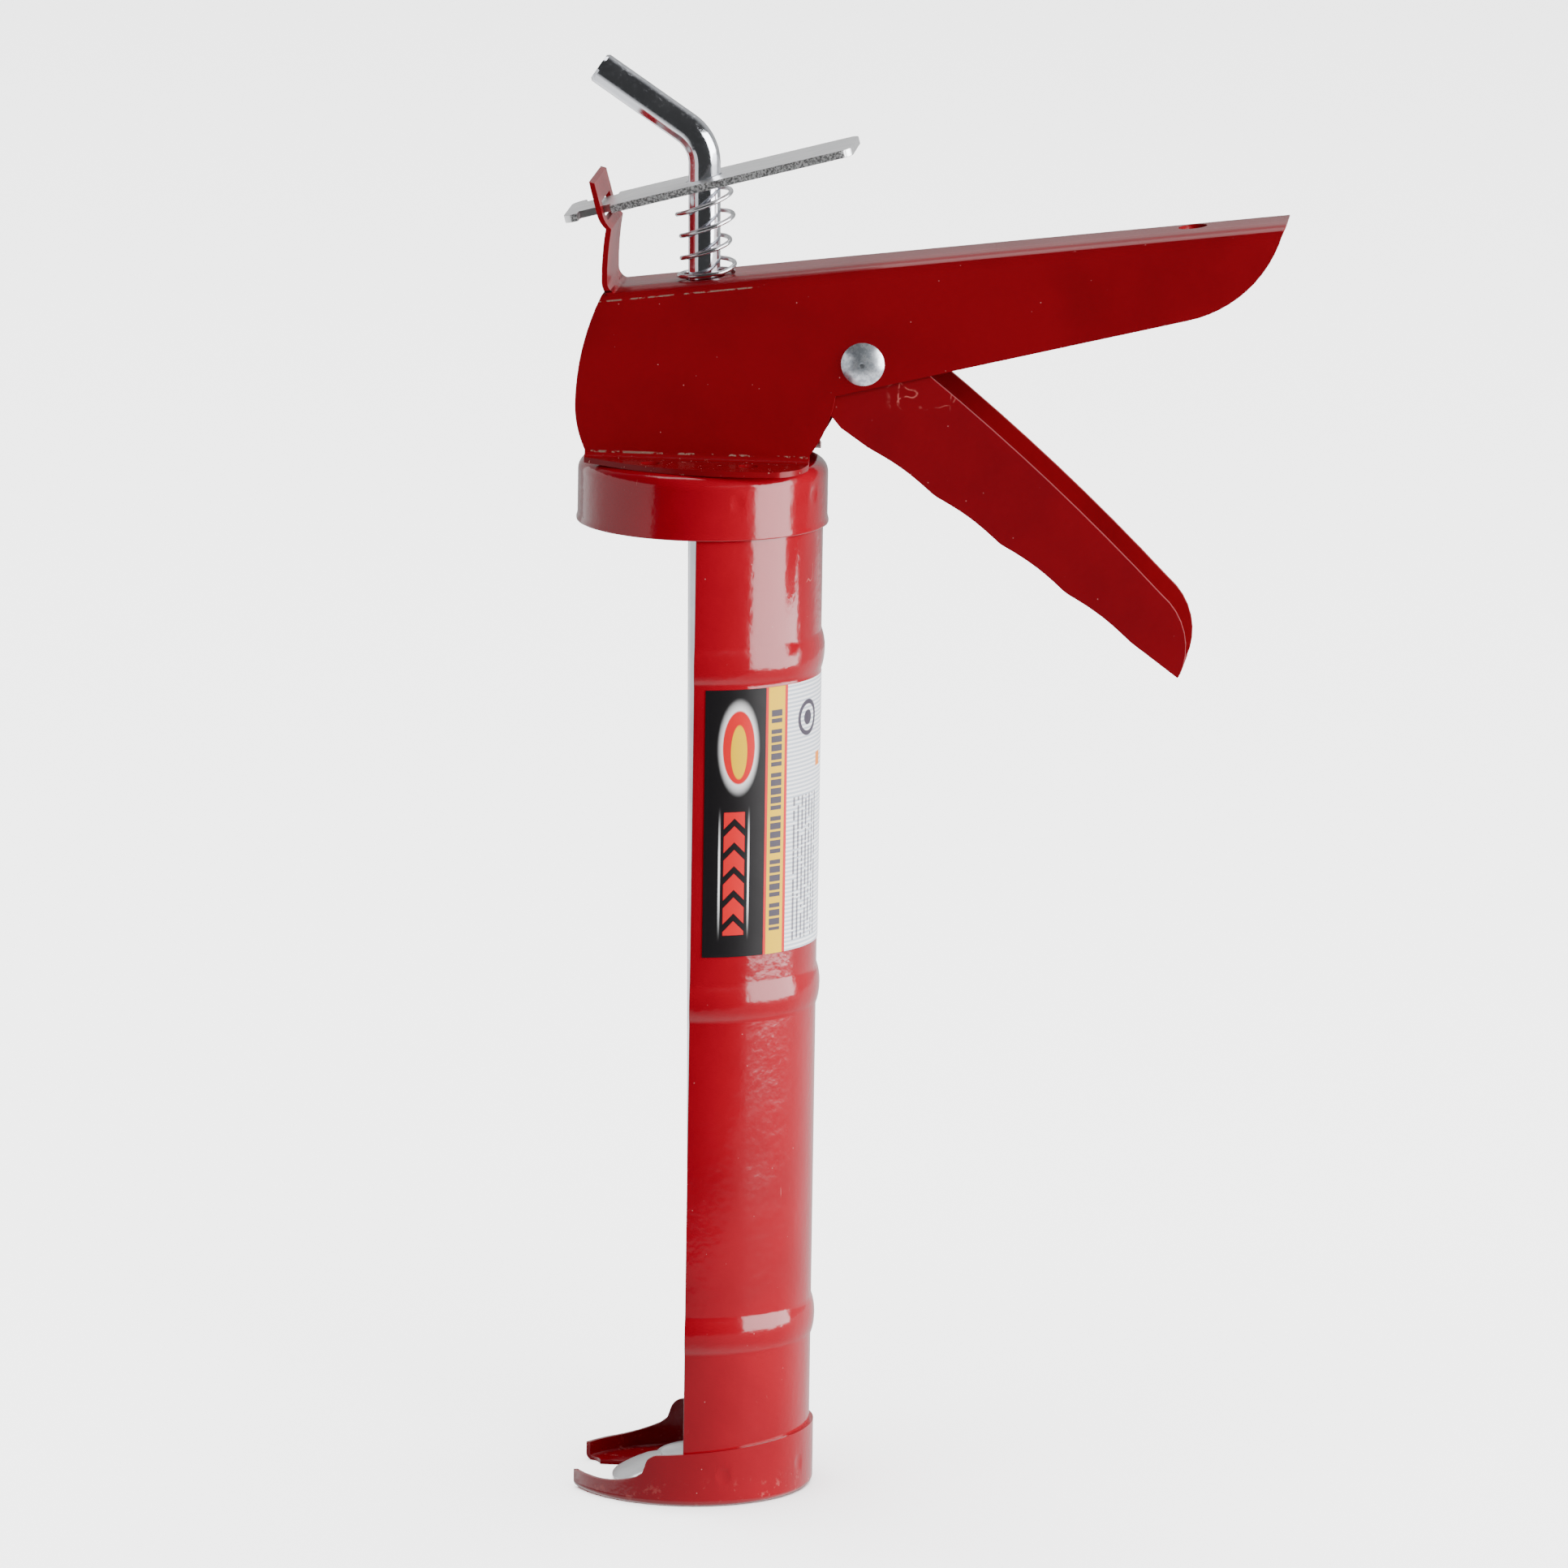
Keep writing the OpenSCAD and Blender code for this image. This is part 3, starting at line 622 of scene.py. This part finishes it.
# Every key is also an input of the springs' node group.
releaseSpring = {
    "turns": 4.4, "coil": 5.55 * mm, "wire": 0.5 * mm, "low": 265.45 * mm, "high": 284.1 * mm,
    "slopeLow": frameMarks["webSlope"], "slopeHigh": tan(radians(15.1)),
    "shiftLow": 0.3 * mm, "shiftHigh": -0.5 * mm, "wobble": 0.5 * mm,
}
driveSpring = {
    "turns": 6.4, "coil": 5.55 * mm, "wire": 0.5 * mm, "low": 226.65 * mm, "high": 254.3 * mm,
    "slopeLow": 0.0, "slopeHigh": -tan(radians(6)),
    "shiftLow": 0.1 * mm, "shiftHigh": 0.0, "wobble": 0.2 * mm,
}
wireLook = {"points": 260, "sides": 12, "closedTurns": 0.85, "wobbleRate": 0.37, "closedPitch": 1.8}


def springTree(look):
    tree = bpy.data.node_groups.new("spring", "GeometryNodeTree")
    for name in releaseSpring:
        tree.interface.new_socket(name, in_out="INPUT", socket_type="NodeSocketFloat")
    tree.interface.new_socket("material", in_out="INPUT", socket_type="NodeSocketMaterial")
    tree.interface.new_socket("Geometry", in_out="OUTPUT", socket_type="NodeSocketGeometry")
    given = tree.nodes.new("NodeGroupInput").outputs
    result = tree.nodes.new("NodeGroupOutput").inputs

    def node(kind, settings=None, inputs=None):
        made = tree.nodes.new(kind)
        for key, value in (settings or {}).items():
            setattr(made, key, value)
        for key, value in (inputs or {}).items():
            if isinstance(value, bpy.types.NodeSocket):
                tree.links.new(value, made.inputs[key])
            else:
                made.inputs[key].default_value = value
        return made.outputs

    def calc(operation, *values):
        return node("ShaderNodeMath", {"operation": operation}, dict(enumerate(values)))[0]

    def between(share, first, second):
        return calc("ADD", first, calc("MULTIPLY", share, calc("SUBTRACT", second, first)))

    line = node("GeometryNodeCurvePrimitiveLine")["Curve"]
    path = node("GeometryNodeResampleCurve", inputs={"Curve": line, "Count": look["points"]})["Curve"]
    share = node("GeometryNodeSplineParameter")["Factor"]
    turn = calc("MULTIPLY", share, calc("MULTIPLY", given["turns"], 2 * pi))
    closed = calc("DIVIDE", look["closedTurns"], given["turns"])
    opened = calc("DIVIDE", calc("SUBTRACT", share, closed), calc("SUBTRACT", 1.0, closed))
    lift = calc("MAXIMUM", 0.0, opened)
    firstTurn = calc("MINIMUM", 1.0, calc("MULTIPLY", share, given["turns"]))
    sway = calc("MULTIPLY", given["wobble"], calc("SINE", calc("MULTIPLY", turn, look["wobbleRate"])))
    reach = calc("ADD", given["coil"], sway)
    x = calc("MULTIPLY", reach, calc("COSINE", turn))
    y = calc("MULTIPLY", reach, calc("SINE", turn))
    step = calc("MULTIPLY", given["wire"], look["closedPitch"])
    rise = between(lift, given["low"], calc("SUBTRACT", given["high"], step))
    rise = calc("ADD", rise, calc("MULTIPLY", step, firstTurn))
    z = calc("ADD", rise, calc("MULTIPLY", x, between(lift, given["slopeLow"], given["slopeHigh"])))
    shifted = calc("ADD", x, between(lift, given["shiftLow"], given["shiftHigh"]))
    place = node("ShaderNodeCombineXYZ", inputs={"X": shifted, "Y": y, "Z": z})["Vector"]
    coil = node("GeometryNodeSetPosition", inputs={"Geometry": path, "Position": place})["Geometry"]
    circle = {"Resolution": look["sides"], "Radius": given["wire"]}
    section = node("GeometryNodeCurvePrimitiveCircle", inputs=circle)["Curve"]
    swept = {"Curve": coil, "Profile Curve": section, "Fill Caps": True}
    wire = node("GeometryNodeCurveToMesh", inputs=swept)["Mesh"]
    smooth = node("GeometryNodeSetShadeSmooth", inputs={"Geometry": wire})["Geometry"]
    real = node("GeometryNodeRealizeInstances", inputs={"Geometry": smooth})["Geometry"]
    coloured = {"Geometry": real, "Material": given["material"]}
    made = node("GeometryNodeSetMaterial", inputs=coloured)["Geometry"]
    tree.links.new(made, result["Geometry"])
    return tree


def spring(name, look, tree):
    values = {**look, "material": metals["spring_steel"]}
    holder = newHolder(name + "_maker", bpy.data.meshes.new(name + "_maker"))
    modifier = holder.modifiers.new("spring", "NODES")
    modifier.node_group = tree
    for item in tree.interface.items_tree:
        if item.in_out == "INPUT":
            modifier[item.identifier] = values[item.name]
    data = evaluatedCopy(holder)
    data.name = name
    obj = addMesh(name + "_wire", data, metals["spring_steel"], "gun_body", name)
    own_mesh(obj)


coilTree = springTree(wireLook)
spring("release_spring", releaseSpring, coilTree)
spring("drive_spring", driveSpring, coilTree)
print("springs made")


floorLook = {
    "reach": 9.0, "sides": 64, "white": (0.93, 0.93, 0.93),
    "grain": 40 * mm, "grainRough": 0.1, "rough": 0.7,
}


# The pieces mirror and take light from the surroundings only, never from the floor.
def makeFloor(look):
    data = bpy.data.meshes.new("floor")
    angles = [2 * pi * k / look["sides"] for k in range(look["sides"])]
    corners = [(look["reach"] * cos(a), look["reach"] * sin(a), 0) for a in angles]
    data.from_pydata(corners, [], [tuple(range(len(corners)))])
    obj = bpy.data.objects.new("floor", data)
    bpy.context.scene.collection.objects.link(obj)
    g = Graph("floor_white")
    roughness = g.noise(look["grain"], 2.0) * look["grainRough"] + look["rough"]
    data.materials.append(g.finish(Base_Color=look["white"], Roughness=roughness))
    obj.visible_glossy = False
    obj.visible_diffuse = False
    return obj


skyLook = {
    "turnFrom": 0.05, "turnTo": 0.8, "front": 0.055, "behind": 0.6,
    "sinkFrom": -0.45, "sinkTo": -0.65, "below": 0.9, "backdrop": 8.0,
}


# Dim in front, brighter behind and below. The camera itself sees a plain backdrop.
def makeWorld(look):
    world = bpy.data.worlds.new("studio")
    bpy.context.scene.world = world
    world.use_nodes = True
    tree = world.node_tree
    sky = tree.nodes["Background"]
    coords = tree.nodes.new("ShaderNodeTexCoord")
    split = tree.nodes.new("ShaderNodeSeparateXYZ")
    turn = tree.nodes.new("ShaderNodeMapRange")
    turn.interpolation_type = "SMOOTHSTEP"
    for key, value in {"From Min": look["turnFrom"], "From Max": look["turnTo"],
                       "To Min": look["front"], "To Max": look["behind"]}.items():
        turn.inputs[key].default_value = value
    sink = tree.nodes.new("ShaderNodeMapRange")
    for key, value in {"From Min": look["sinkFrom"], "From Max": look["sinkTo"],
                       "To Min": 0.0, "To Max": look["below"]}.items():
        sink.inputs[key].default_value = value
    total = tree.nodes.new("ShaderNodeMath")
    seen = tree.nodes.new("ShaderNodeLightPath")
    choice = tree.nodes.new("ShaderNodeMix")
    choice.inputs[3].default_value = look["backdrop"]
    tree.links.new(coords.outputs["Generated"], split.inputs[0])
    tree.links.new(split.outputs["Y"], turn.inputs["Value"])
    tree.links.new(split.outputs["Z"], sink.inputs["Value"])
    tree.links.new(turn.outputs[0], total.inputs[0])
    tree.links.new(sink.outputs[0], total.inputs[1])
    tree.links.new(seen.outputs["Is Camera Ray"], choice.inputs[0])
    tree.links.new(total.outputs[0], choice.inputs[2])
    tree.links.new(choice.outputs[0], sky.inputs["Strength"])
    sky.inputs["Color"].default_value = (1, 1, 1, 1)


lights = {
    "key": {"place": (0.86, -0.12, 0.405), "aim": (0.02, 0, 0.405), "size": (0.9, 0.93), "power": 28,
            "floorLit": "EXCLUDE"},
    "side": {"place": (-1.0, 0.0, 0.2), "aim": (0, 0, 0.2), "size": (2.3, 1.0), "power": 7,
             "floorLit": "EXCLUDE"},
    "overhead": {"place": (0.0, 0.5, 1.5), "aim": (0, 0, 0.15), "size": (1.2, 1.2), "power": 16,
                 "floorLit": "EXCLUDE"},
    "top": {"place": (0.0, 0.0, 3.5), "aim": (0.0, 0.0, 0), "size": (7, 7), "power": 1300,
            "floorLit": "INCLUDE"},
    "fill": {"place": (1.0, -1.6, 1.1), "aim": (0.02, 0, 0.16), "size": (0.9, 0.9), "power": 30,
             "unseenBy": ("glossy",)},
    "bounce": {"place": (0, 0.38, 0.5 * mm), "aim": (0, 0.38, 1), "size": (1.3, 1.3), "power": 2.3,
               "floorLit": "EXCLUDE", "unseenBy": ("camera", "diffuse")},
}


# EXCLUDE keeps a light off the floor, INCLUDE gives it to the floor alone.
def areaLight(name, look, floor):
    data = bpy.data.lights.new(name, "AREA")
    data.shape = "RECTANGLE"
    data.size, data.size_y = look["size"]
    data.energy = look["power"]
    obj = bpy.data.objects.new(name, data)
    obj.location = look["place"]
    obj.rotation_mode = "QUATERNION"
    obj.rotation_quaternion = (Vector(look["aim"]) - Vector(look["place"])).to_track_quat("-Z", "Y")
    bpy.context.scene.collection.objects.link(obj)
    if "floorLit" in look:
        group = bpy.data.collections.new(name + "_floor")
        group.objects.link(floor)
        obj.light_linking.receiver_collection = group
        group.collection_objects[0].light_linking.link_state = look["floorLit"]
    for rays in look.get("unseenBy", ()):
        setattr(obj, "visible_" + rays, False)


floor = makeFloor(floorLook)
makeWorld(skyLook)
for name, look in lights.items():
    areaLight(name, look, floor)

cameraPose = {
    "aim": (18.5 * mm, 0.0, 154.7 * mm), "azimuth": 5.49, "elevation": 11.269, "roll": -0.882,
    "distance": 2975.8 * mm, "lens": 316.78, "clip": (0.1, 200),
}


def makeCamera(pose):
    a, e, r = (radians(pose[key]) for key in ("azimuth", "elevation", "roll"))
    back = Vector((sin(a) * cos(e), -cos(a) * cos(e), sin(e)))
    right = Vector((cos(a), sin(a), 0))
    up = back.cross(right)
    turnedRight = cos(r) * right - sin(r) * up
    turnedUp = sin(r) * right + cos(r) * up
    data = bpy.data.cameras.new("camera")
    data.lens = pose["lens"]
    data.clip_start, data.clip_end = pose["clip"]
    data.dof.use_dof = False
    obj = bpy.data.objects.new("camera", data)
    turn = Matrix((turnedRight, turnedUp, back)).transposed()
    obj.matrix_world = Matrix.Translation(Vector(pose["aim"]) + back * pose["distance"]) @ turn.to_4x4()
    bpy.context.scene.collection.objects.link(obj)
    bpy.context.scene.camera = obj


makeCamera(cameraPose)
print("stage made")
